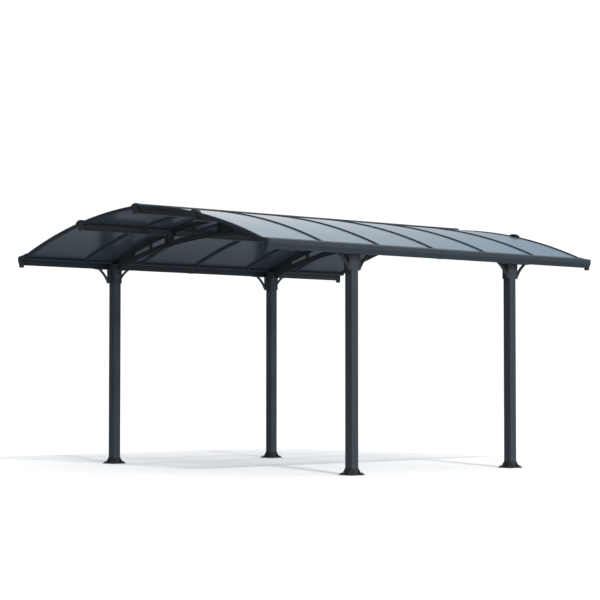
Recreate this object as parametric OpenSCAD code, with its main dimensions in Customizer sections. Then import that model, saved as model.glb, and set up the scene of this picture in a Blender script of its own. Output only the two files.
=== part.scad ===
// Open garden gazebo: four square posts carry two eave gutters and two arched
// trusses, and a low barrel roof of curved twin-wall sheets lies over them.
// Millimetres. X runs along the ridge, Y across the span, Z up from the ground.

/* [Roof] */
// Spacing of the glazing ribs along the ridge
bay_pitch = 717; // [600:1:800]
// Number of roof bays, an even number so that the gutters join under a rib
bay_count = 6; // [6:2:8]
// Radius of the underside of the roof sheets
roof_r = 5056; // [4900:2:5200]
// How far past the ridge the arc of each slope is centred
slope_shift = 247; // [200:1:280]
// Thickness of a roof sheet
panel_t = 6; // [4:1:8]
// Gap between a rib's middle web and the edge of a sheet
panel_edge_gap = 1; // [0.5:0.5:2]
// Half of the gap between the two slopes' sheets at the ridge
panel_ridge_gap = 8; // [7:1:14]
// How far a sheet reaches in past the gutter's slot mouth
panel_grip = 62; // [50:1:64]

/* [Ribs] */
// Width of a rib's cover strip over the sheets
rib_w = 28; // [22:1:40]
// Height of a rib's cover strip over the sheets
rib_h = 8; // [6:1:12]
// Width of a rib's foot under the sheets
rib_foot_w = 34; // [26:1:46]
// Depth of the ribs and rims under the sheets
rib_foot_t = 15; // [8:1:20]
// Thickness of a rib's web between two sheets
rib_web_t = 4; // [3:0.5:6]
// Width of the rim at each gable end
rim_w = 30; // [26:1:40]
// Thickness of the rim's outer wall, outside the edge of the end sheets
rim_wall = 5; // [4:0.5:8]

/* [Ridge and purlins] */
// Width of the ridge cover over the sheets
ridge_cover_w = 100; // [96:1:130]
// Height of the ridge cover's side edge
ridge_cover_edge = 10; // [9:1:16]
// Height of the ridge cover at its middle
ridge_cover_h = 27; // [22:1:36]
// Width of the ridge beam below the sheets
ridge_beam_w = 60; // [50:1:92]
// Depth of the ridge beam below the ribs' feet
ridge_beam_d = 45; // [36:1:70]
// Width of the ridge's neck between the sheets
ridge_neck_w = 10; // [8:1:13]
// Distance of each purlin from the ridge, measured across
purlin_y = 806; // [770:1:850]
// Width of a purlin
purlin_w = 58; // [44:1:80]
// Depth of a purlin
purlin_d = 48; // [36:1:60]
// Thickness of the end caps' plates
beam_cap_t = 5; // [3:0.5:10]
// How far a purlin cap's dome is set out from the purlin's middle
purlin_dome_out = 16; // [0:1:20]
// Width of a purlin cap's dome
purlin_dome_w = 104; // [96:1:130]
// Height of a purlin cap's dome over the rim
beam_cap_rise = 22; // [16:1:30]
// Height of a dome's side edge
dome_edge = 6; // [3:0.5:9]
// Margin of the ridge cap past the ridge cover
ridge_cap_side = 2; // [1:0.5:6]
// Margin of a cap's plate round its ridge or purlin
beam_cap_drop = 2; // [1:0.5:5]

/* [Eave gutters] */
// Overall half width of the roof, to the gutter's outer face
roof_half_w = 1782; // [1760:1:1800]
// Height of the gutter's underside over the ground
eave_z = 1943; // [1900:1:2000]
// Width of the gutter trough at its widest
trough_w = 50; // [46:1:60]
// Width of the trough's flat bottom
trough_bottom_w = 32; // [28:1:36]
// Height at which the sloped lower edge of the fascia ends, over the underside
fascia_taper_h = 42; // [34:1:48]
// Height of the fascia's top corner over the underside
fascia_h = 71; // [62:1:74]
// Radius of the fascia's top corner
fascia_corner_r = 12; // [8:1:13]
// Reach of the sheet seat from the trough in towards the ridge
seat_reach = 52; // [45:1:60]
// Height of the sheet seat's underside over the gutter's underside
seat_h = 53; // [48:1:55]
// Height of the sheets' underside over the gutter's underside, at the trough's inner wall
sheet_h = 59; // [57:1:62]
// Height of the cover lip's inner edge over the gutter's underside
lip_h = 100; // [97:1:104]
// Wall thickness of the gutter
gutter_wall = 3; // [2:0.5:4]
// Width of the cover over the joint between two gutter lengths
joint_w = 40; // [30:1:60]
// Thickness of the cover over that joint
joint_t = 2.5; // [1.5:0.5:3]

/* [Gutter ends] */
// Thickness of a gutter's end plate
end_plate_t = 4; // [3:0.5:6]
// Margin of the end plate round the gutter
end_plate_margin = 2; // [1:0.5:3]
// Length of the end plate's tab along the trough's inner wall
end_tab_l = 78; // [60:1:100]
// Thickness of that tab
end_tab_t = 3; // [2:0.5:4]
// Reach of the end plate past the gutter's lip, over the gable rim
end_lap = 32; // [20:1:50]
// Overhang of the gutter past the middle of the gable rim
gutter_over = 25; // [22:1:40]
// Outer side of the square outlet
outlet_w = 34; // [30:1:36]
// Length of the outlet under the gutter
outlet_l = 23; // [15:1:40]
// Wall thickness of the outlet
outlet_wall = 2.5; // [2:0.5:4]

/* [Posts] */
// Side of a square post
post_w = 83; // [70:1:90]
// Corner radius of a post
post_r = 2.5; // [2:0.5:5]
// Wall thickness of a post
post_wall = 2.5; // [2:0.5:4]
// How far each post stands in from the middle of its bay
post_inset = 5; // [0:1:30]
// Number of bays between the posts along each eave
post_bays = 3; // [3:1:5]

/* [Post feet] */
// Side of the base plate
foot_w = 168; // [160:1:200]
// Thickness of the base plate
foot_t = 8; // [5:1:10]
// Corner radius of the base plate and the socket
foot_r = 5; // [3:0.5:8]
// Wall of the socket round the post
foot_wall = 4; // [3:0.5:5]
// Height of the socket over the ground
foot_socket_h = 62; // [58:1:80]
// Thickness of a gusset
gusset_t = 4; // [3:0.5:5]
// Reach of a gusset from the post's middle
gusset_reach = 78; // [70:1:79]
// Height of a gusset over the base plate
gusset_h = 49; // [36:1:50]
// Height of a gusset's outer edge over the base plate
gusset_toe = 6; // [4:1:10]
// Spacing of the anchor bolt holes
anchor_pitch = 130; // [124:1:138]
// Diameter of an anchor bolt hole
anchor_d = 11; // [9:0.5:13]

/* [Post heads] */
// Wall of the sleeve round the post
sleeve_wall = 6; // [4:0.5:8]
// Length of the sleeve below the gutter's underside
sleeve_drop = 144; // [120:1:180]
// Gap between the post's outer face and the gutter's trough
head_gap = 21; // [12:1:28]
// Width of a leg beside the sleeve, across the post
leg_w = 22; // [16:1:28]
// Half length of the strap under the gutter, middle of the post to its end
strap_half = 198; // [160:1:230]
// Thickness of the strap under the gutter
strap_t = 4; // [3:0.5:6]
// Width of a curved brace, measured across the gutter
brace_w = 26; // [18:1:34]
// Thickness of a curved brace
brace_t = 14; // [8:1:20]
// Radius of a curved brace's outer face
brace_r = 320; // [260:10:800]

/* [Trusses] */
// Gap between the roof sheets and a truss's top flange
truss_gap = 12; // [8:1:14]
// Width of a truss's top flange along the ridge direction
top_chord_w = 60; // [44:1:70]
// Thickness of a truss's top flange
top_chord_d = 6; // [4:0.5:10]
// Width of a truss's bottom flange along the ridge direction
low_chord_w = 40; // [30:1:50]
// Thickness of a truss's bottom flange
low_chord_d = 6; // [4:0.5:10]
// Depth of a truss's web below its bottom flange
keel_d = 18; // [12:1:24]
// Thickness of a truss's web
truss_web_t = 4; // [3:0.5:8]
// Radius of the underside of a truss
truss_r = 5050; // [4800:10:5400]
// Depth of a truss's underside below the gutter's, at the sleeve
truss_heel = 18; // [10:1:26]
// Width of the saddle round a purlin, across the purlin
saddle_w = 76; // [60:1:90]
// Length of the saddle along the purlin
saddle_l = 70; // [60:1:80]
// Depth of the saddle
saddle_d = 62; // [50:1:70]
// Solid band of the web under the top flange
slot_top_band = 39; // [30:1:46]
// Solid band of the web over the bottom flange
slot_low_band = 30; // [22:1:36]
// Distance from the ridge to the first slot
slot_ridge = 128; // [124:1:150]
// Width of the struts between two slots
slot_strut = 52; // [36:1:66]
// Distance from a purlin's middle in to the slot on its ridge side
slot_purlin_in = 54; // [48:1:80]
// Distance from a purlin's middle out to the slot on its eave side
slot_purlin_out = 90; // [50:1:110]
// Distance from the sleeve in to the last slot
slot_end = 272; // [240:1:320]
// Share of the length between ridge and purlin that the inner slot takes
slot_in_share = 0.53; // [0.4:0.01:0.6]
// Share of the length between purlin and sleeve that the inner slot takes
slot_out_share = 0.47; // [0.4:0.01:0.6]
// Half length of the plates that splice two truss halves at the ridge
splice_half = 112; // [95:1:120]
// Thickness of a splice plate
splice_t = 4; // [3:0.5:6]
// Thickness of a truss's end plate on the post head
truss_end_t = 5; // [4:0.5:8]
// Depth of a truss's end plate below the post's top
truss_end_d = 78; // [60:1:90]

/* [Hidden] */
$fn = 96;
// Facets drawn on the long arcs of the roof
arc_fn = 1080;
// Running gap between pieces that are bolted face to face
fit = 0.3;
// Overrun of a cut past the face that it opens
cut = 1;

roof_len = bay_pitch * bay_count;
rim_x = roof_len / 2;
rim_out_x = rim_x + rim_w / 2;
rim_in_x = rim_x - rim_w / 2;
gutter_end_x = rim_x + gutter_over;
rib_top_r = roof_r + panel_t + rib_h;

trough_in_y = roof_half_w - trough_w;
arc_z = eave_z + sheet_h - sqrt(roof_r * roof_r - (trough_in_y + slope_shift) * (trough_in_y + slope_shift));
crown_z = roof_z(0);
seat_y = trough_in_y - seat_reach;
trough_low_y = trough_in_y + trough_bottom_w;
panel_end_y = seat_y + panel_grip;
lip_z = eave_z + lip_h;
seat_z = eave_z + seat_h;

sleeve_half = post_w / 2 + fit + sleeve_wall;
post_x = bay_pitch * post_bays / 2 - post_inset;
post_y = trough_in_y - head_gap - post_w / 2;
post_top_z = seat_z - 2;
sleeve_z = eave_z - sleeve_drop;
sleeve_in_y = post_y - sleeve_half;
sleeve_out_y = post_y + post_w / 2;
brace_in_y = sleeve_out_y - brace_w;
leg_half = sleeve_half + leg_w;

truss_z = eave_z - truss_heel + arc_drop(truss_r, sleeve_in_y);
truss_arc_z = truss_z - truss_r;
inner_slots = purlin_y - slot_purlin_in - slot_ridge - slot_strut;
outer_slots = sleeve_in_y - slot_end - purlin_y - slot_purlin_out - slot_strut;
inner_strut_y = slot_ridge + inner_slots * slot_in_share;
outer_strut_y = purlin_y + slot_purlin_out + outer_slots * slot_out_share;
slot_spans = [
    [slot_ridge, inner_strut_y], [inner_strut_y + slot_strut, purlin_y - slot_purlin_in],
    [purlin_y + slot_purlin_out, outer_strut_y], [outer_strut_y + slot_strut, sleeve_in_y - slot_end]
];
purlin_top_r = roof_r - rib_foot_t - fit;
purlin_low_z = slope_z(purlin_top_r, purlin_y) - purlin_d;
dome_tilt = asin((purlin_y + purlin_dome_out + slope_shift) / roof_r);
saddle_top = rib_foot_t - truss_gap;
web_top = top_chord_d + slot_top_band;
web_low = keel_d + low_chord_d + slot_low_band;
ridge_cover_z = crown_z + panel_t + fit;
ridge_low_z = crown_z - rib_foot_t - ridge_beam_d;

SIDES = [["front", -1], ["back", 1]];
ENDS = [["left", -1], ["right", 1]];
CORNERS = [for (s = SIDES) for (e = ENDS) [str(s[0], "_", e[0]), e[1], s[1]]];

// Drop of an arc of radius r below its top at distance y
function arc_drop(r, y) = r - sqrt(r * r - y * y);
// Height at distance y from the ridge of an arc of radius r about a slope's centre
function slope_z(r, y) = arc_z + r - arc_drop(r, y + slope_shift);
// Height of the roof sheets' underside at distance y from the ridge
function roof_z(y) = slope_z(roof_r, y);
// Height of the underside of a truss at distance y from the ridge
function truss_low_z(y) = truss_z - arc_drop(truss_r, y);

// A profile drawn in Y and Z, drawn out along X from x0
module along_x(x0, len) {
    translate([x0, 0, 0]) rotate([90, 0, 90]) linear_extrude(len) children();
}

// A profile drawn in X and Z, drawn out along Y from y0 towards +Y
module along_y(y0, len) {
    translate([0, y0 + len, 0]) rotate([90, 0, 0]) linear_extrude(len) children();
}

// Places a piece made for the +X, +Y corner at the corner with these signs
module at_corner(sx, sy) {
    mirror([sx < 0 ? 1 : 0, 0, 0]) mirror([0, sy < 0 ? 1 : 0, 0]) children();
}

// Ring about the centre of the +Y slope between two radii, from y0 out to y1
module roof_band(r0, r1, y0, y1) {
    intersection() {
        translate([-slope_shift, arc_z]) difference() {
            circle(r = r1, $fn = arc_fn);
            circle(r = r0, $fn = arc_fn);
        }
        translate([y0, eave_z]) square([y1 - y0, crown_z - eave_z + roof_r / 10]);
    }
}

// Square with round corners, centred
module round_square(w, r) {
    union() {
        square([w - 2 * r, w], center = true);
        square([w, w - 2 * r], center = true);
        for (sx = [-1, 1]) for (sy = [-1, 1]) translate([sx, sy] * (w / 2 - r)) circle(r = r);
    }
}

module post(sx, sy) {
    color([0.16, 0.19, 0.22]) at_corner(sx, sy)
        translate([post_x, post_y, foot_t]) linear_extrude(post_top_z - foot_t) difference() {
            round_square(post_w, post_r);
            round_square(post_w - 2 * post_wall, post_r - post_wall / 2);
        }
}

// Triangular gusset from the socket out over the base plate
module gusset() {
    x0 = post_w / 2 + fit + foot_wall / 2;
    x1 = gusset_reach;
    rotate([90, 0, 0]) linear_extrude(gusset_t, center = true)
        polygon([[x0, foot_t / 2], [x1, foot_t / 2], [x1, foot_t + gusset_toe], [x0, foot_t + gusset_h]]);
}

module foot(sx, sy) {
    socket_w = post_w + 2 * (fit + foot_wall);
    color([0.14, 0.17, 0.2]) at_corner(sx, sy) translate([post_x, post_y, 0]) {
        difference() {
            union() {
                linear_extrude(foot_t) round_square(foot_w, foot_r);
                linear_extrude(foot_socket_h) round_square(socket_w, foot_r);
                for (a = [0 : 90 : 270]) for (s = [-1, 1])
                    rotate([0, 0, a]) translate([0, s * (post_w / 2 - gusset_t / 2), 0]) gusset();
            }
            translate([0, 0, foot_t]) linear_extrude(foot_socket_h) round_square(post_w + 2 * fit, post_r);
            for (ax = [-1, 1]) for (ay = [-1, 1])
                translate([ax * anchor_pitch / 2, ay * anchor_pitch / 2, -cut])
                    cylinder(h = foot_t + 2 * cut, d = anchor_d);
        }
    }
}

// Curved brace in X and Z, from the sleeve's lower edge up to the strap's end
module brace_profile() {
    x0 = leg_half - 1;
    x1 = strap_half;
    z0 = sleeve_z;
    z1 = eave_z - strap_t / 2;
    chord = norm([x1 - x0, z1 - z0]);
    out = [(z1 - z0) / chord, -(x1 - x0) / chord];
    mid = [(x0 + x1) / 2, (z0 + z1) / 2];
    centre = mid + out * sqrt(brace_r * brace_r - chord * chord / 4);
    intersection() {
        translate(centre) difference() {
            circle(r = brace_r + brace_t, $fn = arc_fn);
            circle(r = brace_r, $fn = arc_fn);
        }
        translate([x0, z0]) square([x1 - x0, z1 - z0]);
    }
}

module head(sx, sy) {
    color([0.15, 0.18, 0.21]) at_corner(sx, sy) translate([post_x, 0, 0]) {
        difference() {
            union() {
                translate([-sleeve_half, sleeve_in_y, sleeve_z])
                    cube([2 * sleeve_half, sleeve_out_y - sleeve_in_y, post_top_z - sleeve_z]);
                translate([-leg_half, brace_in_y, sleeve_z])
                    cube([2 * leg_half, brace_w, eave_z - sleeve_z]);
                translate([-sleeve_half, brace_in_y, eave_z - strap_t])
                    cube([2 * sleeve_half, trough_in_y - brace_in_y, post_top_z - eave_z + strap_t]);
                translate([-strap_half, brace_in_y, eave_z - strap_t])
                    cube([2 * strap_half, trough_low_y - brace_in_y, strap_t]);
            }
            translate([0, post_y, sleeve_z - cut]) linear_extrude(post_top_z - sleeve_z + 2 * cut)
                round_square(post_w + 2 * fit, post_r);
            translate([-post_w / 2 - fit, post_y, sleeve_z - cut])
                cube([post_w + 2 * fit, post_w, eave_z - strap_t - sleeve_z + cut]);
        }
        for (s = [0, 1]) mirror([s, 0, 0]) along_y(brace_in_y, brace_w) brace_profile();
    }
}

// Outer outline of the eave gutter, drawn for the +Y side
module gutter_outline() {
    corner_y = roof_half_w - fascia_corner_r;
    corner_z = eave_z + fascia_h;
    union() {
        polygon([
            [seat_y, seat_z], [trough_in_y, seat_z], [trough_in_y, eave_z], [trough_low_y, eave_z],
            [roof_half_w, eave_z + fascia_taper_h], [roof_half_w, corner_z],
            [corner_y + fascia_corner_r * sin(lip_slope), corner_z + fascia_corner_r * cos(lip_slope)],
            [seat_y, lip_z]
        ]);
        translate([corner_y, corner_z]) circle(r = fascia_corner_r);
    }
}

// Slope of the gutter's cover lip, from the corner round up to its inner edge
lip_run = roof_half_w - fascia_corner_r - seat_y;
lip_rise = lip_z - eave_z - fascia_h;
lip_slope = atan(lip_rise / lip_run) - asin(fascia_corner_r / norm([lip_run, lip_rise]));

// Trough of the gutter, inside its walls
module gutter_trough() {
    w = gutter_wall;
    in_y = trough_in_y + w;
    out_y = roof_half_w - w;
    low_z = eave_z + w;
    top_z = eave_z + fascia_h;
    polygon([
        [in_y, low_z], [trough_low_y - w / 2, low_z], [out_y, eave_z + fascia_taper_h + w / 4],
        [out_y, top_z], [panel_end_y + w, roof_z(panel_end_y) + panel_t + w],
        [panel_end_y, roof_z(panel_end_y) - fit], [in_y, roof_z(panel_end_y) - w]
    ]);
}

module gutter_profile() {
    difference() {
        gutter_outline();
        gutter_trough();
        roof_band(roof_r - fit, roof_r + panel_t + fit, seat_y - cut, panel_end_y + fit);
    }
}

module gutter(sx, sy) {
    color([0.2, 0.24, 0.27]) at_corner(sx, sy) difference() {
        along_x(fit / 2, gutter_end_x - end_plate_t - fit / 2) gutter_profile();
        translate([gutter_end_x - outlet_w + outlet_wall, trough_low_y - outlet_w + outlet_wall, eave_z - cut])
            cube([outlet_w - end_plate_t - outlet_wall + cut, outlet_w - 2 * outlet_wall, gutter_wall + 2 * cut]);
    }
}

// Plate that closes the gutter, with its tab and the square outlet below
module gutter_end(sx, sy) {
    m = end_plate_margin;
    lap_y = seat_y - end_lap;
    lap_z = slope_z(rib_top_r, lap_y);
    color([0.13, 0.16, 0.18]) at_corner(sx, sy) {
        along_x(gutter_end_x - end_plate_t, end_plate_t) union() {
            gutter_outline();
            polygon([
                [seat_y, seat_z], [trough_in_y - end_tab_t, seat_z], [trough_in_y - end_tab_t, eave_z],
                [trough_low_y, eave_z], [roof_half_w + m, eave_z + fascia_taper_h],
                [roof_half_w + m, eave_z + fascia_h], [seat_y, lip_z + m],
                [lap_y, lap_z + m], [lap_y, lap_z - rib_h]
            ]);
            translate([roof_half_w + m - fascia_corner_r, eave_z + fascia_h]) circle(r = fascia_corner_r);
        }
        translate([gutter_end_x - end_tab_l, trough_in_y - end_tab_t, eave_z])
            cube([end_tab_l, end_tab_t, seat_h]);
        translate([gutter_end_x - outlet_w, trough_low_y - outlet_w, eave_z - outlet_l]) difference() {
            cube([outlet_w, outlet_w, outlet_l]);
            translate([outlet_wall, outlet_wall, -cut])
                cube([outlet_w - 2 * outlet_wall, outlet_w - 2 * outlet_wall, outlet_l + 2 * cut]);
        }
    }
}

// Cover clipped over the joint between two gutter lengths, on both eaves
module gutter_joints() {
    t = joint_t;
    color([0.17, 0.2, 0.23]) for (s = [0, 1]) mirror([0, s, 0]) along_x(-joint_w / 2, joint_w) polygon([
        [trough_in_y, eave_z], [trough_low_y, eave_z], [roof_half_w, eave_z + fascia_taper_h],
        [roof_half_w, eave_z + fascia_h], [roof_half_w + t, eave_z + fascia_h],
        [roof_half_w + t, eave_z + fascia_taper_h - t / 2], [trough_low_y + t / 2, eave_z - t],
        [trough_in_y, eave_z - t]
    ]);
}

// Outline of a purlin, grown by g on its sides and underside
module purlin_profile(g) {
    intersection() {
        translate([-slope_shift, arc_z]) circle(r = purlin_top_r, $fn = arc_fn);
        translate([purlin_y - purlin_w / 2 - g, purlin_low_z - g]) square([purlin_w + 2 * g, 2 * purlin_d]);
    }
}

module purlin(sy) {
    color([0.15, 0.18, 0.21]) at_corner(1, sy)
        along_x(-rim_out_x, 2 * rim_out_x) purlin_profile(0);
}

// Dome of width w and height h over the level z, with an upright side edge of height e
module dome(w, z, h, e) {
    rise = h - e;
    r = (w * w / 4 + rise * rise) / (2 * rise);
    translate([-w / 2, z]) square([w, e]);
    intersection() {
        translate([0, z + h - r]) circle(r = r);
        translate([-w / 2, z + e / 2]) square([w, h]);
    }
}

// Ridge beam, and the neck that rises from it between the sheets
module ridge_beam_profile(g) {
    translate([-ridge_beam_w / 2 - g, ridge_low_z - g]) square([ridge_beam_w + 2 * g, ridge_beam_d + g - fit]);
    translate([-ridge_neck_w / 2 - g, ridge_low_z])
        square([ridge_neck_w + 2 * g, ridge_cover_z - fit - ridge_low_z]);
}

// Ridge cover over the sheets' edges, joined to the neck
module ridge_cover_profile() {
    half = ridge_cover_w / 2;
    translate([-ridge_neck_w / 2, crown_z]) square([ridge_neck_w, ridge_cover_edge]);
    dome(ridge_cover_w, ridge_cover_z, ridge_cover_h, ridge_cover_edge);
    for (s = [0, 1]) mirror([s, 0]) difference() {
        translate([0, roof_z(half)]) square([half, ridge_cover_z + cut - roof_z(half)]);
        translate([-slope_shift, arc_z]) circle(r = roof_r + panel_t + fit, $fn = arc_fn);
    }
}

module ridge_beam() {
    color([0.18, 0.2, 0.23]) {
        along_x(-rim_out_x, 2 * rim_out_x) ridge_beam_profile(0);
        along_x(fit - rim_in_x, 2 * (rim_in_x - fit)) ridge_cover_profile();
    }
}

// Dome over the rim at a purlin's end
module purlin_dome_profile() {
    translate([-slope_shift, arc_z]) rotate(-dome_tilt)
        dome(purlin_dome_w, rib_top_r + fit, beam_cap_rise - fit, dome_edge);
}

// Plate that closes a purlin's end, up to the dome
module purlin_plate_profile() {
    w = purlin_w + 2 * beam_cap_drop;
    intersection() {
        translate([-slope_shift, arc_z]) circle(r = rib_top_r + dome_edge, $fn = arc_fn);
        translate([purlin_y - w / 2, purlin_low_z - beam_cap_drop]) square([w, 2 * purlin_d + beam_cap_rise]);
    }
}

// Dome over the end of the ridge cover
module ridge_dome_profile() {
    dome(ridge_cover_w + 2 * ridge_cap_side, ridge_cover_z, ridge_cover_h + beam_cap_drop, ridge_cover_edge);
}

// Plate that closes the ridge beam's end, up to the dome
module ridge_plate_profile() {
    w = ridge_beam_w + 2 * beam_cap_drop;
    low_z = ridge_low_z - beam_cap_drop;
    translate([-w / 2, low_z]) square([w, ridge_cover_z + ridge_cover_edge - low_z]);
}

module beam_caps(sx) {
    color([0.12, 0.14, 0.16]) mirror([sx < 0 ? 1 : 0, 0, 0]) {
        along_x(rim_in_x, rim_w + fit + beam_cap_t) {
            ridge_dome_profile();
            for (s = [0, 1]) mirror([s, 0]) purlin_dome_profile();
        }
        along_x(rim_out_x + fit, beam_cap_t) {
            ridge_plate_profile();
            for (s = [0, 1]) mirror([s, 0]) purlin_plate_profile();
        }
    }
}

// Rim round the gable: a channel that grips the end sheets
module rim(sx) {
    low_r = roof_r - rib_foot_t;
    y0 = ridge_cover_w / 2 + ridge_cap_side + fit;
    y1 = seat_y - fit;
    color([0.16, 0.19, 0.22]) mirror([sx < 0 ? 1 : 0, 0, 0]) for (s = [0, 1]) mirror([0, s, 0]) difference() {
        along_x(rim_in_x, rim_w) roof_band(low_r, rib_top_r, y0, y1);
        along_x(rim_in_x - cut, rim_w - rim_wall + cut)
            roof_band(roof_r - fit, roof_r + panel_t + fit, y0 - cut, y1 + cut);
    }
}

// Glazing rib: cover strip, web and foot, one length on each slope
module rib(i) {
    x = (i - bay_count / 2) * bay_pitch;
    y0 = ridge_cover_w / 2 + fit;
    y1 = seat_y - fit;
    color([0.19, 0.23, 0.26]) for (s = [0, 1]) mirror([0, s, 0]) {
        along_x(x - rib_w / 2, rib_w) roof_band(roof_r + panel_t + fit, rib_top_r, y0, y1);
        along_x(x - rib_web_t / 2, rib_web_t) roof_band(roof_r - rib_foot_t, rib_top_r - rib_h / 2, y0, y1);
        along_x(x - rib_foot_w / 2, rib_foot_w) roof_band(roof_r - rib_foot_t, roof_r - fit, y0, y1);
    }
}

// Edges of the sheets in bay i, along X
function sheet_left(i) = (i == 1) ? -rim_out_x + rim_wall + panel_edge_gap
    : (i - 1 - bay_count / 2) * bay_pitch + rib_web_t / 2 + panel_edge_gap;
function sheet_right(i) = -sheet_left(bay_count + 1 - i);

// The two roof sheets of one bay, one on each slope
module panels(i) {
    color([0.62, 0.7, 0.76, 0.8]) for (s = [0, 1]) mirror([0, s, 0])
        along_x(sheet_left(i), sheet_right(i) - sheet_left(i))
            roof_band(roof_r, roof_r + panel_t, panel_ridge_gap, panel_end_y);
}

// Area between a truss's top flange and its underside, from y0 to y1,
// set in by a from the top and by b from the bottom
module truss_area(a, b, y0, y1) {
    difference() {
        intersection() {
            translate([-slope_shift, arc_z]) circle(r = roof_r - truss_gap - a, $fn = arc_fn);
            translate([y0, sleeve_z]) square([y1 - y0, crown_z - sleeve_z]);
        }
        translate([0, truss_arc_z]) circle(r = truss_r + b, $fn = arc_fn);
    }
}

// Half of a truss: two arched flanges on a slotted web, a saddle for the purlin, and an end plate
module truss(sx, sy) {
    x = post_x;
    y0 = fit;
    y1 = seat_y - fit;
    end_y = sleeve_in_y - fit;
    color([0.15, 0.18, 0.2]) at_corner(sx, sy) difference() {
        union() {
            along_x(x - truss_web_t / 2, truss_web_t) difference() {
                truss_area(0, 0, y0, y1);
                for (s = slot_spans) truss_area(web_top, web_low, s[0], s[1]);
            }
            along_x(x - top_chord_w / 2, top_chord_w) difference() {
                truss_area(0, 0, y0, y1);
                truss_area(top_chord_d, -cut, y0 - cut, y1 + cut);
            }
            along_x(x - low_chord_w / 2, low_chord_w) difference() {
                truss_area(web_top, keel_d, y0, y1);
                truss_area(0, keel_d + low_chord_d, y0 - cut, y1 + cut);
            }
            along_x(x - saddle_l / 2, saddle_l) difference() {
                truss_area(saddle_top, 0, purlin_y - saddle_w / 2, purlin_y + saddle_w / 2);
                truss_area(saddle_top + saddle_d, -cut, 0, y1);
            }
            translate([x - sleeve_half, end_y - truss_end_t, post_top_z - truss_end_d])
                cube([2 * sleeve_half, truss_end_t, truss_end_d]);
        }
        translate([x - strap_half, end_y, sleeve_z - cut])
            cube([2 * strap_half, roof_half_w - end_y, post_top_z + fit - sleeve_z + cut]);
        along_x(x - top_chord_w, 2 * top_chord_w) purlin_profile(fit);
        along_x(x - top_chord_w, 2 * top_chord_w) ridge_beam_profile(fit);
    }
}

// Plates bolted on both faces of each truss's web over its middle joint
module truss_splices() {
    top_z = ridge_low_z - fit;
    low_z = truss_z + keel_d + low_chord_d + fit;
    color([0.13, 0.16, 0.18]) for (sx = [-1, 1]) for (f = [-1, 1])
        translate([sx * post_x + f * (truss_web_t + splice_t + fit) / 2 - splice_t / 2, -splice_half, low_z])
            cube([splice_t, 2 * splice_half, top_z - low_z]);
}

for (c = CORNERS) {
    post(c[1], c[2]);
    foot(c[1], c[2]);
    head(c[1], c[2]);
    gutter(c[1], c[2]);
    gutter_end(c[1], c[2]);
    truss(c[1], c[2]);
}
for (s = SIDES) purlin(s[1]);
for (e = ENDS) {
    beam_caps(e[1]);
    rim(e[1]);
}
for (i = [1 : bay_count - 1]) rib(i);
for (i = [1 : bay_count]) panels(i);
gutter_joints();
truss_splices();
ridge_beam();
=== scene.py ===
import bpy
import math
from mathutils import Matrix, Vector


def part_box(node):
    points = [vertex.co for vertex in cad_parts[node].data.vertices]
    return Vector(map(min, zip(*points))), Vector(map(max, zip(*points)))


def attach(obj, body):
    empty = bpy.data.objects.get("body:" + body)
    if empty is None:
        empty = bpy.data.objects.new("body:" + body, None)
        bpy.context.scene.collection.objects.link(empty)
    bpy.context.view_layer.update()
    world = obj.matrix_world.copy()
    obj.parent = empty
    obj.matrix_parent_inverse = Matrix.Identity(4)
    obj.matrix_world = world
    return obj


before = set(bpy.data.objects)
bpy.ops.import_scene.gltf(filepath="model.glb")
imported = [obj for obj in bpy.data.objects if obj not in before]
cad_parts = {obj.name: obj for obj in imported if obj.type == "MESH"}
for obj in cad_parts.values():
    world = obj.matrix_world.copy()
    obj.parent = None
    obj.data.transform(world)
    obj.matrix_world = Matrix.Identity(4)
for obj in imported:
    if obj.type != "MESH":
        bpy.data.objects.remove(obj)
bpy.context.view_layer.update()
bpy.ops.object.select_all(action="DESELECT")

# ---- View ----
# The gazebo is seen from low down, off its front left corner, with a long lens
# so that the posts stay upright and the two gutters run almost parallel.
QUARTER_TURN = math.pi / 2
LENS = 119.2686
SENSOR_WIDTH = 36.0
FARTHEST_SEEN = 200.0
EYE = (-13.49271, -13.99273, 0.84014)
LOOKS_UP = 0.0398834
LEANS = -0.0002148
LOOKS_ROUND = 0.8073716

camera_data = bpy.data.cameras.new("view")
camera_data.lens = LENS
camera_data.sensor_width = SENSOR_WIDTH
camera_data.clip_end = FARTHEST_SEEN
camera = bpy.data.objects.new("view", camera_data)
bpy.context.scene.collection.objects.link(camera)
camera.location = EYE
camera.rotation_euler = (QUARTER_TURN + LOOKS_UP, LEANS, LOOKS_ROUND - QUARTER_TURN)
bpy.context.scene.camera = camera

# ---- Studio ----
# A white floor in a white room, under a soft sun that stands front left. What the metal
# mirrors is darker: dark beyond the left gable, dimmer beyond the right, bright in front.
WHITE = (1, 1, 1, 1)
FLOOR_SIZE = 80.0
FLOOR_CUTS = 7
FLOOR_POOL = (0.52, 0.565, 0.6, 1)
FLOOR_EDGE = (0.26, 0.29, 0.315, 1)
POOL_FROM = 2.5
POOL_TO = 9.0
ROOM_SEEN = 1.05
ROOM_LIGHT = 0.95
LEFT_LIGHT = 0.05
LEFT_EDGE = -0.7
RIGHT_COLOUR = (0.26, 0.33, 0.43, 1)
RIGHT_FROM = 0.64
RIGHT_TO = 0.82
FRONT_LIGHT = 0.72
SUN_STRENGTH = 1.6
SUN_SOFTNESS = 5.0
SUN_HEIGHT = 42.0
SUN_TURN = 246.0


def set_values(node, **values):
    """Set a node's sockets by their names, written with _ for each space."""
    for socket, value in values.items():
        node.inputs[socket.replace("_", " ")].default_value = value
    return node


def add_node(tree, kind, way=None, **values):
    """Add a shader node, choose the way it works, and set its sockets."""
    node = tree.nodes.new("ShaderNode" + kind)
    if kind in ("Math", "VectorMath"):
        node.operation = way
    elif kind == "MapRange":
        node.interpolation_type = way
    elif kind == "Mix":
        node.data_type = way
    return set_values(node, **values)


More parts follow.
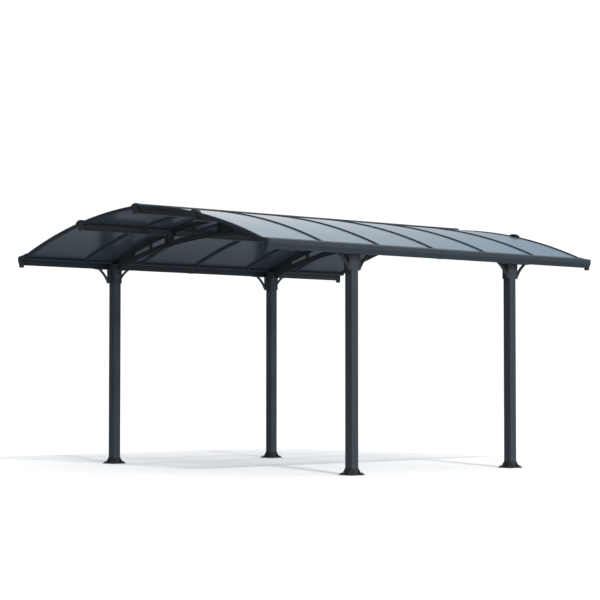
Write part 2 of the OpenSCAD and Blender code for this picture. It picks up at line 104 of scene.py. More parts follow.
bpy.ops.mesh.primitive_plane_add(size=FLOOR_SIZE, location=(0, 0, 0))
floor = bpy.context.object
floor.name = "floor"
bpy.ops.object.mode_set(mode="EDIT")
bpy.ops.mesh.subdivide(number_cuts=FLOOR_CUTS)
bpy.ops.object.mode_set(mode="OBJECT")
floor_finish = bpy.data.materials.new("white floor")
floor_finish.use_nodes = True
tree = floor_finish.node_tree
links = tree.links
floor_shader = set_values(tree.nodes["Principled BSDF"], Roughness=1.0, Specular_IOR_Level=0.0)
place = add_node(tree, "TexCoord")
reach = add_node(tree, "VectorMath", "LENGTH")
fade = add_node(tree, "MapRange", "SMOOTHSTEP", From_Min=POOL_FROM, From_Max=POOL_TO)
pool = add_node(tree, "Mix", "RGBA", A=FLOOR_POOL, B=FLOOR_EDGE)
rays = add_node(tree, "LightPath")
plain = add_node(tree, "Mix", "RGBA", B=WHITE)
links.new(place.outputs["Object"], reach.inputs[0])
links.new(reach.outputs["Value"], fade.inputs["Value"])
links.new(fade.outputs["Result"], pool.inputs["Factor"])
links.new(rays.outputs["Is Camera Ray"], plain.inputs["Factor"])
links.new(pool.outputs["Result"], plain.inputs["A"])
links.new(plain.outputs["Result"], floor_shader.inputs["Base Color"])
floor.data.materials.append(floor_finish)

room = bpy.data.worlds.new("white room")
room.use_nodes = True
bpy.context.scene.world = room
tree = room.node_tree
links = tree.links
direction = add_node(tree, "TexCoord")
sides = add_node(tree, "SeparateXYZ")
left = add_node(
    tree, "MapRange", "SMOOTHSTEP", From_Min=LEFT_EDGE, From_Max=0.0, To_Min=LEFT_LIGHT, To_Max=ROOM_LIGHT)
right = add_node(tree, "MapRange", "SMOOTHSTEP", From_Min=RIGHT_FROM, From_Max=RIGHT_TO)
front = add_node(tree, "MapRange", "LINEAR", From_Min=0.0, From_Max=-1.0, To_Max=FRONT_LIGHT)
light = add_node(tree, "Math", "ADD")
colour = add_node(tree, "Mix", "RGBA", A=WHITE, B=RIGHT_COLOUR)
lit = add_node(tree, "Background")
seen = add_node(tree, "Background", Color=WHITE, Strength=ROOM_SEEN)
rays = add_node(tree, "LightPath")
pick = add_node(tree, "MixShader")
links.new(direction.outputs["Generated"], sides.inputs["Vector"])
links.new(sides.outputs["X"], left.inputs["Value"])
links.new(sides.outputs["X"], right.inputs["Value"])
links.new(sides.outputs["Y"], front.inputs["Value"])
links.new(left.outputs["Result"], light.inputs[0])
links.new(front.outputs["Result"], light.inputs[1])
links.new(right.outputs["Result"], colour.inputs["Factor"])
links.new(colour.outputs["Result"], lit.inputs["Color"])
links.new(light.outputs["Value"], lit.inputs["Strength"])
links.new(rays.outputs["Is Camera Ray"], pick.inputs["Fac"])
links.new(lit.outputs["Background"], pick.inputs[1])
links.new(seen.outputs["Background"], pick.inputs[2])
links.new(pick.outputs["Shader"], tree.nodes["World Output"].inputs["Surface"])

sun_data = bpy.data.lights.new("soft sun", "SUN")
sun_data.energy = SUN_STRENGTH
sun_data.angle = math.radians(SUN_SOFTNESS)
sun = bpy.data.objects.new("soft sun", sun_data)
bpy.context.scene.collection.objects.link(sun)
sun.rotation_euler = (QUARTER_TURN - math.radians(SUN_HEIGHT), 0, QUARTER_TURN + math.radians(SUN_TURN))
bpy.context.scene.view_settings.view_transform = "Standard"

# ---- Posts ----
# Four square posts of extruded aluminium, powder coated charcoal. Each stands in
# the socket of its foot and rises into the sleeve of its head, under the gutter.
CORNERS = ("front_left", "front_right", "back_left", "back_right")
post_low, post_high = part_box("post_back_right")
POST_X = (post_low[0] + post_high[0]) / 2
POST_Y = (post_low[1] + post_high[1]) / 2
POST_HALF = POST_X - post_low[0]

ALONG_X = (0.01, 1, 1)
ALONG_Z = (1, 1, 0.01)
ROUND_ABOUT = (1, 1, 1)
CLOUD_SCALE = 3.1
CLOUD_DETAIL = 4.0
LINE_SCALE = 160.0
LINE_DETAIL = 1.0
BOTH_MOST = 2.0
DARKEST_TONE = 0.82
LIGHTEST_TONE = 1.18
DUST_COLOUR = (0.3, 0.29, 0.27, 1)
DUST_HEIGHT = 0.14
DUST_MOST = 0.07
GRAIN_SCALE = 420.0
GRAIN_DETAIL = 2.0
GRAIN_ROUGHNESS = 0.14
GRAIN_STRENGTH = 0.12
GRAIN_DEPTH = 0.0006
COAT_SPECULAR = 0.35


def node_group(name, takes, gives):
    """An empty node group with named inputs and outputs, and the nodes that hold them."""
    group = bpy.data.node_groups.new(name, "ShaderNodeTree")
    for socket, kind in takes:
        group.interface.new_socket(socket, in_out="INPUT", socket_type="NodeSocket" + kind)
    for socket, kind in gives:
        group.interface.new_socket(socket, in_out="OUTPUT", socket_type="NodeSocket" + kind)
    return group, group.nodes.new("NodeGroupInput"), group.nodes.new("NodeGroupOutput")


def grain_and_dust():
    """A faint cloud of tone, lines left by drawing, a fine grain, and a little dust low down."""
    group, into, out = node_group(
        "grain and dust",
        (("Place", "Vector"), ("Drawn", "Vector"), ("Colour", "Color"),
         ("Grain scale", "Float"), ("Roughness", "Float")),
        (("Colour", "Color"), ("Roughness", "Float"), ("Height", "Float")))
    cloud = add_node(group, "TexNoise", Scale=CLOUD_SCALE, Detail=CLOUD_DETAIL)
    lines = add_node(group, "TexNoise", Scale=LINE_SCALE, Detail=LINE_DETAIL)
    both = add_node(group, "Math", "ADD")
    tone = add_node(
        group, "MapRange", "LINEAR", From_Max=BOTH_MOST, To_Min=DARKEST_TONE, To_Max=LIGHTEST_TONE)
    toned = add_node(group, "VectorMath", "SCALE")
    height = add_node(group, "SeparateXYZ")
    dust = add_node(group, "MapRange", "SMOOTHSTEP", From_Min=DUST_HEIGHT, From_Max=0.0, To_Max=DUST_MOST)
    dusty = add_node(group, "Mix", "RGBA", B=DUST_COLOUR)
    grain = add_node(group, "TexNoise", Detail=GRAIN_DETAIL)
    rough = add_node(group, "Math", "MULTIPLY_ADD")
    rough.inputs[1].default_value = GRAIN_ROUGHNESS
    links = group.links
    links.new(into.outputs["Place"], cloud.inputs["Vector"])
    links.new(into.outputs["Place"], grain.inputs["Vector"])
    links.new(into.outputs["Place"], height.inputs["Vector"])
    links.new(into.outputs["Drawn"], lines.inputs["Vector"])
    links.new(into.outputs["Grain scale"], grain.inputs["Scale"])
    links.new(cloud.outputs["Fac"], both.inputs[0])
    links.new(lines.outputs["Fac"], both.inputs[1])
    links.new(both.outputs["Value"], tone.inputs["Value"])
    links.new(into.outputs["Colour"], toned.inputs[0])
    links.new(tone.outputs["Result"], toned.inputs["Scale"])
    links.new(height.outputs["Z"], dust.inputs["Value"])
    links.new(dust.outputs["Result"], dusty.inputs["Factor"])
    links.new(toned.outputs["Vector"], dusty.inputs["A"])
    links.new(grain.outputs["Fac"], rough.inputs[0])
    links.new(into.outputs["Roughness"], rough.inputs[2])
    links.new(dusty.outputs["Result"], out.inputs["Colour"])
    links.new(rough.outputs["Value"], out.inputs["Roughness"])
    links.new(grain.outputs["Fac"], out.inputs["Height"])
    return group


GRAIN_AND_DUST = grain_and_dust()


def coated(
        name, colour, roughness, drawn=ROUND_ABOUT, specular=COAT_SPECULAR, metallic=0.0,
        grain=GRAIN_SCALE, strength=GRAIN_STRENGTH):
    """A coated or moulded finish in this colour, with lines along the way it was drawn."""
    material = bpy.data.materials.new(name)
    material.use_nodes = True
    tree = material.node_tree
    shader = tree.nodes["Principled BSDF"]
    set_values(shader, Specular_IOR_Level=specular, Metallic=metallic)
    place = add_node(tree, "TexCoord")
    draw = add_node(tree, "Mapping", Scale=drawn)
    coat = add_node(tree, "Group")
    coat.node_tree = GRAIN_AND_DUST
    set_values(coat, Colour=(*colour, 1), Grain_scale=grain, Roughness=roughness)
    relief = add_node(tree, "Bump", Strength=strength, Distance=GRAIN_DEPTH)
    links = tree.links
    links.new(place.outputs["Object"], coat.inputs["Place"])
    links.new(place.outputs["Object"], draw.inputs["Vector"])
    links.new(draw.outputs["Vector"], coat.inputs["Drawn"])
    links.new(coat.outputs["Colour"], shader.inputs["Base Color"])
    links.new(coat.outputs["Roughness"], shader.inputs["Roughness"])
    links.new(coat.outputs["Height"], relief.inputs["Height"])
    links.new(relief.outputs["Normal"], shader.inputs["Normal"])
    return material


def finish(material, *nodes):
    """Give these parts of the gazebo their real finish."""
    for node in nodes:
        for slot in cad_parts[node].material_slots:
            slot.material = material


post_coat = coated("post coat", colour=(0.03, 0.04, 0.049), roughness=0.5, drawn=ALONG_Z)
finish(post_coat, *["post_" + corner for corner in CORNERS])

# ---- Feet ----
# Welded steel feet: a base plate, a socket round the post and eight gussets. Four
# anchor bolts, each with a washer and a hexagon nut, hold each foot to the slab.
foot_coat = coated("foot coat", colour=(0.013, 0.018, 0.022), roughness=0.55, specular=0.25)
finish(foot_coat, *["foot_" + corner for corner in CORNERS])
dark_steel = coated(
    "blackened steel", colour=(0.03, 0.032, 0.034), roughness=0.4, specular=0.4, metallic=0.5)

ANCHOR_OUT = 0.065
PLATE_TOP = post_low[2]
SQUARE_ON = 0.99

# How a fixing that was made standing up is turned to face each way
FACING = {
    "up": (0, 0, 0),
    "down": (math.pi, 0, 0),
    "left": (0, -QUARTER_TURN, 0),
    "right": (0, QUARTER_TURN, 0),
    "front": (QUARTER_TURN, 0, 0),
    "back": (-QUARTER_TURN, 0, 0),
}


def sides_of(corner):
    """Which way a corner lies from the middle, -1 or 1, along the roof and then across it."""
    return (-1 if "left" in corner else 1), (-1 if "front" in corner else 1)


def turned(radius, height, foot, sides):
    """A blank for a small turned or many-sided part, standing on the height of its foot."""
    bpy.ops.object.select_all(action="DESELECT")
    bpy.ops.mesh.primitive_cylinder_add(
        vertices=sides, radius=radius, depth=height, location=(0, 0, foot + height / 2))
    bpy.ops.object.transform_apply(location=True, rotation=True, scale=True)
    return bpy.context.object


def pick_faces(piece, test):
    """Open the piece for shaping with only the faces that pass the test selected."""
    bpy.ops.object.mode_set(mode="EDIT")
    bpy.ops.mesh.select_mode(type="FACE")
    bpy.ops.mesh.select_all(action="DESELECT")
    bpy.ops.object.mode_set(mode="OBJECT")
    for face in piece.data.polygons:
        face.select = test(face)
    bpy.ops.object.mode_set(mode="EDIT")


def crown(piece, *steps):
    """Draw in the upper end of a blank, in steps of (how far in, how far up)."""
    pick_faces(piece, lambda face: face.normal.z > SQUARE_ON)
    for inwards, upwards in steps:
        bpy.ops.mesh.inset(thickness=inwards, depth=upwards)
    bpy.ops.object.mode_set(mode="OBJECT")


def joined(name, pieces):
    """One piece made of several."""
    bpy.ops.object.select_all(action="DESELECT")
    for piece in pieces:
        piece.select_set(True)
    bpy.context.view_layer.objects.active = pieces[0]
    if len(pieces) > 1:
        bpy.ops.object.join()
    whole = bpy.context.object
    whole.name = name
    whole.data.name = name
    return whole


def copy_of(pattern, place, turn=(0, 0, 0), size=(1, 1, 1)):
    """A copy of a pattern piece with a mesh of its own, moved, turned or mirrored."""
    bpy.ops.object.select_all(action="DESELECT")
    pattern.select_set(True)
    bpy.context.view_layer.objects.active = pattern
    bpy.ops.object.duplicate(linked=False)
    copy = bpy.context.object
    copy.location = place
    copy.rotation_euler = turn
    copy.scale = size
    bpy.ops.object.transform_apply(location=True, rotation=True, scale=True)
    return copy


def done(piece, material):
    """Give a new piece its material and fix it to the gazebo."""
    piece.data.materials.clear()
    piece.data.materials.append(material)
    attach(piece, "root")


def fixings(name, pattern, spots, material):
    """Copies of one fixing, each at its spot and facing its way, joined into one piece."""
    copies = [copy_of(pattern, (x, y, z), FACING[way]) for x, y, z, way in spots]
    done(joined(name, copies), material)


def scrap(*patterns):
    """Throw away patterns once their copies are set out."""
    bpy.ops.object.select_all(action="DESELECT")
    for pattern in patterns:
        pattern.select_set(True)
    bpy.ops.object.delete()


washer = turned(radius=0.012, height=0.0025, foot=0, sides=20)
crown(washer, (0.0007, 0.0004))
nut = turned(radius=0.0098, height=0.0075, foot=0.0026, sides=6)
crown(nut, (0.0011, 0.0007))
stud = turned(radius=0.005, height=0.006, foot=0.0105, sides=12)
crown(stud, (0.0011, 0.0011))
anchor = joined("anchor", [washer, nut, stud])
for corner in CORNERS:
    to_x, to_y = sides_of(corner)
    spots = []
    for out_x in (-ANCHOR_OUT, ANCHOR_OUT):
        for out_y in (-ANCHOR_OUT, ANCHOR_OUT):
            spots.append((to_x * POST_X + out_x, to_y * POST_Y + out_y, PLATE_TOP, "up"))
    fixings("anchor_bolts_" + corner, anchor, spots, dark_steel)
scrap(anchor)

# ---- Post heads ----
# Cast aluminium heads join post, gutter and truss: a sleeve round three sides of the
# post, two legs that carry the curved braces, and a strap screwed under the gutter.
head_coat = coated("head coat", colour=(0.024, 0.032, 0.039), roughness=0.5)
finish(head_coat, *["head_" + corner for corner in CORNERS])

head_low, head_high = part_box("head_back_right")
gutter_low, gutter_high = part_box("gutter_back_right")
SLEEVE_HALF = POST_Y - head_low[1]
SLEEVE_SCREWS_UP = (0.039, 0.101)
SLEEVE_SCREW_IN = 0.018
SLEEVE_SCREW_OUT = 0.024
LEG_HALF = 0.011
LEG_OUT = SLEEVE_HALF + LEG_HALF
STRAP_THICK = 0.004
STRAP_HALF = 0.016
STRAP_HOLES = (-0.165, -0.1, 0.1, 0.165)

screw_flange = turned(radius=0.0075, height=0.0011, foot=0, sides=18)
crown(screw_flange, (0.0006, 0.0004))
screw_button = turned(radius=0.006, height=0.0018, foot=0.0013, sides=18)
crown(screw_button, (0.0009, 0.0008), (0.0016, 0.0004), (0.0004, -0.0012))
screw = joined("screw", [screw_flange, screw_button])
for corner in CORNERS:
    to_x, to_y = sides_of(corner)
    x = to_x * POST_X
    y = to_y * POST_Y
    outer, inner = ("front", "back") if to_y < 0 else ("back", "front")
    spots = []
    for up in SLEEVE_SCREWS_UP:
        z = head_low[2] + up
        side_y = y - to_y * SLEEVE_SCREW_IN
        spots += [(x - SLEEVE_HALF, side_y, z, "left"), (x + SLEEVE_HALF, side_y, z, "right")]
        spots += [(x + out, y + to_y * POST_HALF, z, outer) for out in (-LEG_OUT, LEG_OUT)]
        spots += [
            (x + out, y - to_y * SLEEVE_HALF, z, inner) for out in (-SLEEVE_SCREW_OUT, SLEEVE_SCREW_OUT)]
    spots += [
        (x + hole, to_y * (head_high[1] - STRAP_HALF), gutter_low[2] - STRAP_THICK, "down")
        for hole in STRAP_HOLES]
    fixings("head_screws_" + corner, screw, spots, head_coat)

# ---- Gutters ----
# Extruded eave gutters in two lengths a side, with a clip-on cover over the joint and
# a moulded end plate, held by three screws, that carries the square outlet.
gutter_coat = coated("gutter coat", colour=(0.025, 0.038, 0.047), roughness=0.45, drawn=ALONG_X)
finish(gutter_coat, "gutter_joints", *["gutter_" + corner for corner in CORNERS])
plate_plastic = coated("end plate plastic", colour=(0.021, 0.028, 0.034), roughness=0.5, specular=0.25)
finish(plate_plastic, *["gutter_end_" + corner for corner in CORNERS])

JOINT_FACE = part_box("gutter_joints")[1][1]
JOINT_RIVET_OUT = 0.013
JOINT_RIVETS_UP = (0.049, 0.065)
PLATE_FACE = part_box("gutter_end_back_right")[1][0]
PLATE_SCREWS = ((0.019, 0.06), (0.07, 0.079), (0.038, 0.014))

rivet = turned(radius=0.0042, height=0.0008, foot=0, sides=14)
crown(rivet, (0.0006, 0.0006), (0.001, 0.0003), (0.0006, -0.0006))
spots = []
for to_y, way in ((-1, "front"), (1, "back")):
    for out in (-JOINT_RIVET_OUT, JOINT_RIVET_OUT):
        for up in JOINT_RIVETS_UP:
            spots.append((out, to_y * JOINT_FACE, gutter_low[2] + up, way))
fixings("joint_rivets", rivet, spots, gutter_coat)
scrap(rivet)
for corner in CORNERS:
    to_x, to_y = sides_of(corner)
    way = "left" if to_x < 0 else "right"
    spots = [
        (to_x * PLATE_FACE, to_y * (gutter_high[1] - inwards), gutter_low[2] + up, way)
        for inwards, up in PLATE_SCREWS]
    fixings("end_plate_screws_" + corner, screw, spots, plate_plastic)

# ---- Trusses ----
# Arched aluminium trusses in two halves: a slotted web with a wide top flange, bolted
# to the heads and to the purlins' saddles, and spliced with plates under the ridge.
truss_coat = coated("truss coat", colour=(0.022, 0.03, 0.037), roughness=0.3, specular=0.5)
finish(truss_coat, *["truss_" + corner for corner in CORNERS])
splice_coat = coated("splice coat", colour=(0.012, 0.015, 0.018), roughness=0.45)
finish(splice_coat, "truss_splices")

splice_low, splice_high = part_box("truss_splices")
SPLICE_FACE = splice_high[0] - POST_X
SPLICE_BOLTS = (-0.09, -0.04, 0.04, 0.09)
SPLICE_BOLTS_UP = 0.0262
SPLICE_BOLTS_DOWN = 0.0271
purlin_low, purlin_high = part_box("purlin_back")
PURLIN_Y = (purlin_low[1] + purlin_high[1]) / 2
SADDLE_HALF = 0.035
SADDLE_BOLT_DOWN = 0.0071
END_PLATE_IN = 0.0053
END_BOLT_OUT = 0.034
END_BOLTS_UP = (-0.01, 0.036)

collar = turned(radius=0.0095, height=0.0015, foot=0, sides=18)
crown(collar, (0.0006, 0.0004))
hexagon = turned(radius=0.0078, height=0.0048, foot=0.0016, sides=6)
crown(hexagon, (0.001, 0.0006), (0.0035, 0.0))
bolt = joined("bolt", [collar, hexagon])
for end, to_x in (("left", -1), ("right", 1)):
    spots = []
    for face, way in ((-SPLICE_FACE, "left"), (SPLICE_FACE, "right")):
        for y in SPLICE_BOLTS:
            for z in (splice_low[2] + SPLICE_BOLTS_UP, splice_high[2] - SPLICE_BOLTS_DOWN):
                spots.append((to_x * POST_X + face, y, z, way))
    fixings("splice_bolts_" + end, bolt, spots, splice_coat)
for corner in CORNERS:
    to_x, to_y = sides_of(corner)
    x = to_x * POST_X
    y = to_y * (head_low[1] - END_PLATE_IN)
    way = "back" if to_y < 0 else "front"
    spots = [
        (x - SADDLE_HALF, to_y * PURLIN_Y, purlin_low[2] - SADDLE_BOLT_DOWN, "left"),
        (x + SADDLE_HALF, to_y * PURLIN_Y, purlin_low[2] - SADDLE_BOLT_DOWN, "right")]
    for out in (-END_BOLT_OUT, END_BOLT_OUT):
        for up in END_BOLTS_UP:
            spots.append((x + out, y, gutter_low[2] + up, way))
    fixings("truss_bolts_" + corner, bolt, spots, splice_coat)
scrap(bolt)

# ---- Ridge beam and purlins ----
# Extruded beams that run the whole length of the roof, with moulded caps screwed to
# their ends. Black rubber packing fills the gap under the sheets, here and at the eaves.
beam_coat = coated("beam coat", colour=(0.018, 0.024, 0.029), roughness=0.45, drawn=ALONG_X)
finish(beam_coat, "ridge_beam", "purlin_front", "purlin_back")
cap_plastic = coated("cap plastic", colour=(0.024, 0.031, 0.037), roughness=0.5, specular=0.25)
finish(cap_plastic, "beam_caps_left", "beam_caps_right")
rubber = coated(
    "black rubber", colour=(0.008, 0.009, 0.01), roughness=0.62, drawn=ALONG_X, specular=0.25,
    grain=260.0, strength=0.2)

CAP_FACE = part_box("beam_caps_right")[1][0]
RIDGE_SCREW_OUT = 0.018
RIDGE_SCREWS_UP = 0.1261
PURLIN_SCREWS_UP = 0.0151
CLEAR = 0.0005

# Each slope is an arc, and its centre lies past the ridge, under the other slope
SHEET_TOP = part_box("panels_bay_1")[1][2]
SHEET_THICK = 0.006
SHEET_FROM_RIDGE = 0.008
SHEET_R = 5.056
ARC_Y = -0.247
ARC_Z = SHEET_TOP - math.sqrt((SHEET_R + SHEET_THICK) ** 2 - (SHEET_FROM_RIDGE - ARC_Y) ** 2)

PACKING_CLEAR = 0.0004
PACKING_GROOVE = 0.002
GROOVE_EDGE = 0.28

# Where each packing lies, how far from the ridge, and its width and height
PACKINGS = (
    ("purlin", PURLIN_Y, 0.04, 0.0146),
    ("ridge", 0.0177, 0.022, 0.0134),
    ("gutter", gutter_low[1] - 0.0004, 0.005, 0.013),
)


def slope_turn(y, radius):
    """How far a slope has turned down at this distance from the ridge."""
    return math.asin((y - ARC_Y) / radius)


def packing(start, end, width, height):
    """A packing strip along X, lying at the origin, with a groove down each long side."""
    bpy.ops.object.select_all(action="DESELECT")
    bpy.ops.mesh.primitive_cube_add(size=1, location=((start + end) / 2, 0, 0))
    strip = bpy.context.object
    strip.scale = (end - start, width, height)
    bpy.ops.object.transform_apply(location=True, rotation=True, scale=True)
    pick_faces(strip, lambda face: abs(face.normal.y) > SQUARE_ON)
    bpy.ops.mesh.inset(thickness=height * GROOVE_EDGE, depth=-PACKING_GROOVE, use_individual=True)
    bpy.ops.object.mode_set(mode="OBJECT")
    return strip


stops = [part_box(node) for node in ("rim_left", "rib_1", "rib_2", "rib_3")]
left_gaps = [(one[1][0] + CLEAR, other[0][0] - CLEAR) for one, other in zip(stops, stops[1:])]
gaps = left_gaps + [(-end, -start) for start, end in left_gaps]
for place, from_ridge, width, height in PACKINGS:
    pattern = joined("packing", [packing(start, end, width, height) for start, end in gaps])
    turn = slope_turn(from_ridge, SHEET_R)
    middle = SHEET_R - height / 2 - PACKING_CLEAR
    y = ARC_Y + middle * math.sin(turn)
    z = ARC_Z + middle * math.cos(turn)
    for side, to_y in (("front", -1), ("back", 1)):
        strip = copy_of(pattern, (0, to_y * y, z), (-to_y * turn, 0, 0))
        strip.name = "packing_" + place + "_" + side
        done(strip, rubber)
    scrap(pattern)

for end, to_x in (("left", -1), ("right", 1)):
    spots = []
    for out, up in ((PURLIN_Y, PURLIN_SCREWS_UP), (RIDGE_SCREW_OUT, RIDGE_SCREWS_UP)):
        spots += [(to_x * CAP_FACE, y, purlin_low[2] + up, end) for y in (-out, out)]
    fixings("beam_cap_screws_" + end, screw, spots, cap_plastic)
scrap(screw)

# ---- Ribs and rims ----
# Curved glazing ribs of extruded aluminium clamp the sheets, and a channel rims each
# gable. A black rubber seal runs round every sheet, along ribs, ridge and gutter lip.
rib_coat = coated("rib coat", colour=(0.024, 0.033, 0.041), roughness=0.62, drawn=ALONG_X, specular=0.12)
RIBS = 5
finish(rib_coat, "rim_left", "rim_right", *["rib_%d" % number for number in range(1, RIBS + 1)])

SEAL_WIDE = 0.003
SEAL_HIGH = 0.0025
SEAL_CORNER = 0.0007
SEAL_CLEAR = 0.0002
SEAL_STEPS = 36
SEAL_R = SHEET_R + SHEET_THICK + SEAL_HIGH / 2 + SEAL_CLEAR
COVER_HALF = 0.014
BAY_PITCH = stops[2][0][0] - stops[1][0][0]
BAY_HALF = BAY_PITCH / 2 - COVER_HALF - CLEAR
FROM_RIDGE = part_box("ridge_beam")[1][1] + CLEAR
TO_LIP = gutter_low[1] - CLEAR


def face_outwards():
    """Turn all faces of the piece that is being shaped outwards, and end its shaping."""
    bpy.ops.mesh.select_all(action="SELECT")
    bpy.ops.mesh.normals_make_consistent(inside=False)
    bpy.ops.object.mode_set(mode="OBJECT")


def seal_section(size, place, turn):
    """The seal's section, a small plate with its corners taken off, left open for shaping."""
    bpy.ops.object.select_all(action="DESELECT")
    bpy.ops.mesh.primitive_plane_add(size=1, location=place, rotation=turn)
    section = bpy.context.object
    section.scale = (*size, 1)
    bpy.ops.object.transform_apply(location=True, rotation=True, scale=True)
    bpy.ops.object.mode_set(mode="EDIT")
    bpy.ops.mesh.select_all(action="SELECT")
    bpy.ops.mesh.bevel(offset=SEAL_CORNER, affect="VERTICES")
    bpy.ops.mesh.select_all(action="SELECT")
    return section


def side_seal(x):
    """A seal that follows the slope down one side of a sheet."""
    start = slope_turn(FROM_RIDGE, SEAL_R)
    end = slope_turn(TO_LIP, SEAL_R)
    place = (x, ARC_Y + SEAL_R * math.sin(start), ARC_Z + SEAL_R * math.cos(start))
    seal = seal_section((SEAL_WIDE, SEAL_HIGH), place, (QUARTER_TURN - start, 0, 0))
    bpy.ops.mesh.spin(steps=SEAL_STEPS, angle=end - start, center=(x, ARC_Y, ARC_Z), axis=(1, 0, 0))
    face_outwards()
    return seal


def cross_seal(y):
    """A seal along the ridge or the gutter's lip, from one side seal to the other."""
    turn = slope_turn(y, SEAL_R)
    start = SEAL_WIDE - BAY_HALF
    place = (start, y, ARC_Z + SEAL_R * math.cos(turn))
    seal = seal_section((SEAL_HIGH, SEAL_WIDE), place, (-turn, QUARTER_TURN, 0))
    bpy.ops.mesh.extrude_region_move(TRANSFORM_OT_translate={"value": (-2 * start, 0, 0)})
    face_outwards()
    return seal


back_half = joined("seal", [
    side_seal(SEAL_WIDE / 2 - BAY_HALF), side_seal(BAY_HALF - SEAL_WIDE / 2),
    cross_seal(FROM_RIDGE + SEAL_WIDE / 2), cross_seal(TO_LIP - SEAL_WIDE / 2)])
front_half = copy_of(back_half, (0, 0, 0), size=(1, -1, 1))
bpy.ops.object.mode_set(mode="EDIT")
face_outwards()
pattern = joined("seal", [back_half, front_half])
end_bay = (stops[1][0][0] + stops[1][1][0]) / 2 - COVER_HALF - BAY_HALF
middles = [end_bay] + [(start + end) / 2 for start, end in left_gaps[1:]]
middles += [-x for x in reversed(middles)]
for number, x in enumerate(middles, 1):
    seal = copy_of(pattern, (x, 0, 0))
    seal.name = "seals_bay_%d" % number
    done(seal, rubber)
scrap(pattern)

# ---- Roof sheets ----
# the ribs. Hollow flutes run down the slope between the two skins, and the upper side
# is glossy. The upper side is painted a lighter blue-grey as painted light, and the
# underside a darker tone as painted shade.
BAYS = 6
# Painted light: faces that look up get a lighter, bluer colour for the light that falls on the top of the
# sheet, and faces that look down get a darker colour as painted shade.
UPPER_SIDE_PAINTED_LIGHT = (0.148, 0.218, 0.275, 1)
UNDERSIDE_PAINTED_SHADE = (0.046, 0.059, 0.072, 1)
SHEET_ROUGHNESS = 0.22
SHEET_SPECULAR = 0.06
SHEET_GLINT = (0.78, 0.89, 1, 1)
UPPER_GLOSS = 0.4
GLOSS_ROUGHNESS = 0.12
GLOSS_IOR = 1.5
FACES_UP = 0.1
FLUTES_PER_METRE = 100.0
FLUTE_TONE = 0.035
FLUTE_STRENGTH = 0.08
FLUTE_DEPTH = 0.0003
BAND_SCALE = 34.0
BAND_DETAIL = 2.0
DOWN_SLOPE = (1, 0.03, 0.03)
DARKEST_BAND = 0.88
LIGHTEST_BAND = 1.12
LIGHT_THROUGH = (0.74, 0.77, 0.79, 1)


def sheet_marks():
    """Flutes that run down the slope, and faint drawn bands in the same direction."""
    group, into, out = node_group(
        "sheet marks",
        (("Place", "Vector"), ("Flutes per metre", "Float")),
        (("Tone", "Float"), ("Height", "Float")))
    across = add_node(group, "SeparateXYZ")
    turns = add_node(group, "Math", "MULTIPLY")
    angle = add_node(group, "Math", "MULTIPLY")
    angle.inputs[1].default_value = 2 * math.pi
    wave = add_node(group, "Math", "SINE")
    stretch = add_node(group, "Mapping", Scale=DOWN_SLOPE)
    bands = add_node(group, "TexNoise", Scale=BAND_SCALE, Detail=BAND_DETAIL)
    band_tone = add_node(group, "MapRange", "LINEAR", To_Min=DARKEST_BAND, To_Max=LIGHTEST_BAND)
    tone = add_node(group, "Math", "MULTIPLY_ADD")
    tone.inputs[1].default_value = FLUTE_TONE
    links = group.links
    links.new(into.outputs["Place"], across.inputs["Vector"])
    links.new(across.outputs["X"], turns.inputs[0])
    links.new(into.outputs["Flutes per metre"], turns.inputs[1])
    links.new(turns.outputs["Value"], angle.inputs[0])
    links.new(angle.outputs["Value"], wave.inputs[0])
    links.new(into.outputs["Place"], stretch.inputs["Vector"])
    links.new(stretch.outputs["Vector"], bands.inputs["Vector"])
    links.new(bands.outputs["Fac"], band_tone.inputs["Value"])
    links.new(wave.outputs["Value"], tone.inputs[0])
    links.new(band_tone.outputs["Result"], tone.inputs[2])
    links.new(tone.outputs["Value"], out.inputs["Tone"])
    links.new(wave.outputs["Value"], out.inputs["Height"])
    return group


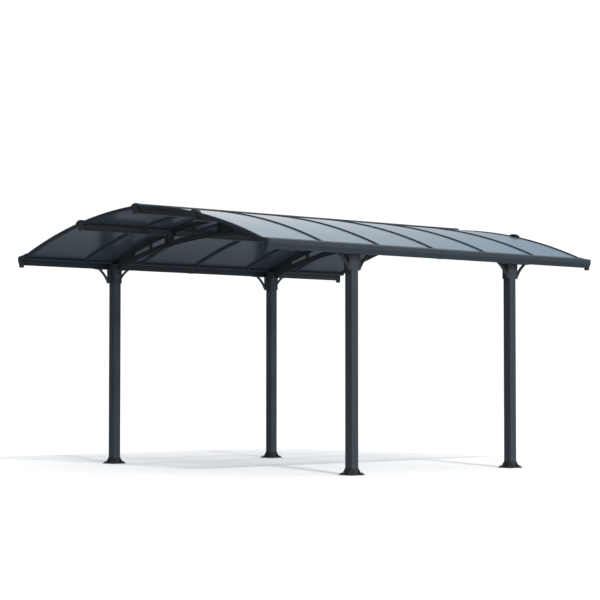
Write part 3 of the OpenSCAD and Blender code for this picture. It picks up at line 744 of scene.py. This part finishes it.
sheet = bpy.data.materials.new("twin-wall sheet")
sheet.use_nodes = True
tree = sheet.node_tree
links = tree.links
shader = tree.nodes["Principled BSDF"]
set_values(
    shader, Roughness=SHEET_ROUGHNESS, Specular_IOR_Level=SHEET_SPECULAR, Specular_Tint=SHEET_GLINT,
    Coat_Roughness=GLOSS_ROUGHNESS, Coat_IOR=GLOSS_IOR)
place = add_node(tree, "TexCoord")
marks = add_node(tree, "Group")
marks.node_tree = sheet_marks()
set_values(marks, Flutes_per_metre=FLUTES_PER_METRE)
surface = add_node(tree, "NewGeometry")
upwards = add_node(tree, "SeparateXYZ")
# Faces that look up take the gloss and also the painted light; the rest take the painted shade.
faces_up_for_gloss_and_painted_light = add_node(tree, "Math", "GREATER_THAN")
faces_up_for_gloss_and_painted_light.inputs[1].default_value = FACES_UP
gloss = add_node(tree, "Math", "MULTIPLY")
gloss.inputs[1].default_value = UPPER_GLOSS
# Painted light and shade: faces that look up take the lighter colour, and faces that look down take the
# darker one.
sides_painted_light_and_shade = add_node(tree, "Mix", "RGBA", A=UNDERSIDE_PAINTED_SHADE, B=UPPER_SIDE_PAINTED_LIGHT)
toned = add_node(tree, "VectorMath", "SCALE")
relief = add_node(tree, "Bump", Strength=FLUTE_STRENGTH, Distance=FLUTE_DEPTH)
clear = add_node(tree, "BsdfTransparent", Color=LIGHT_THROUGH)
rays = add_node(tree, "LightPath")
passing = add_node(tree, "Math", "MAXIMUM")
lets_through = add_node(tree, "MixShader")
links.new(place.outputs["Object"], marks.inputs["Place"])
links.new(surface.outputs["Normal"], upwards.inputs["Vector"])
links.new(upwards.outputs["Z"], faces_up_for_gloss_and_painted_light.inputs[0])
links.new(faces_up_for_gloss_and_painted_light.outputs["Value"], gloss.inputs[0])
links.new(gloss.outputs["Value"], shader.inputs["Coat Weight"])
links.new(faces_up_for_gloss_and_painted_light.outputs["Value"], sides_painted_light_and_shade.inputs["Factor"])
links.new(sides_painted_light_and_shade.outputs["Result"], toned.inputs[0])
links.new(marks.outputs["Tone"], toned.inputs["Scale"])
links.new(toned.outputs["Vector"], shader.inputs["Base Color"])
links.new(marks.outputs["Height"], relief.inputs["Height"])
links.new(relief.outputs["Normal"], shader.inputs["Normal"])
links.new(rays.outputs["Is Shadow Ray"], passing.inputs[0])
links.new(rays.outputs["Is Diffuse Ray"], passing.inputs[1])
links.new(passing.outputs["Value"], lets_through.inputs["Fac"])
links.new(shader.outputs["BSDF"], lets_through.inputs[1])
links.new(clear.outputs["BSDF"], lets_through.inputs[2])
links.new(lets_through.outputs["Shader"], tree.nodes["Material Output"].inputs["Surface"])
finish(sheet, *["panels_bay_%d" % number for number in range(1, BAYS + 1)])
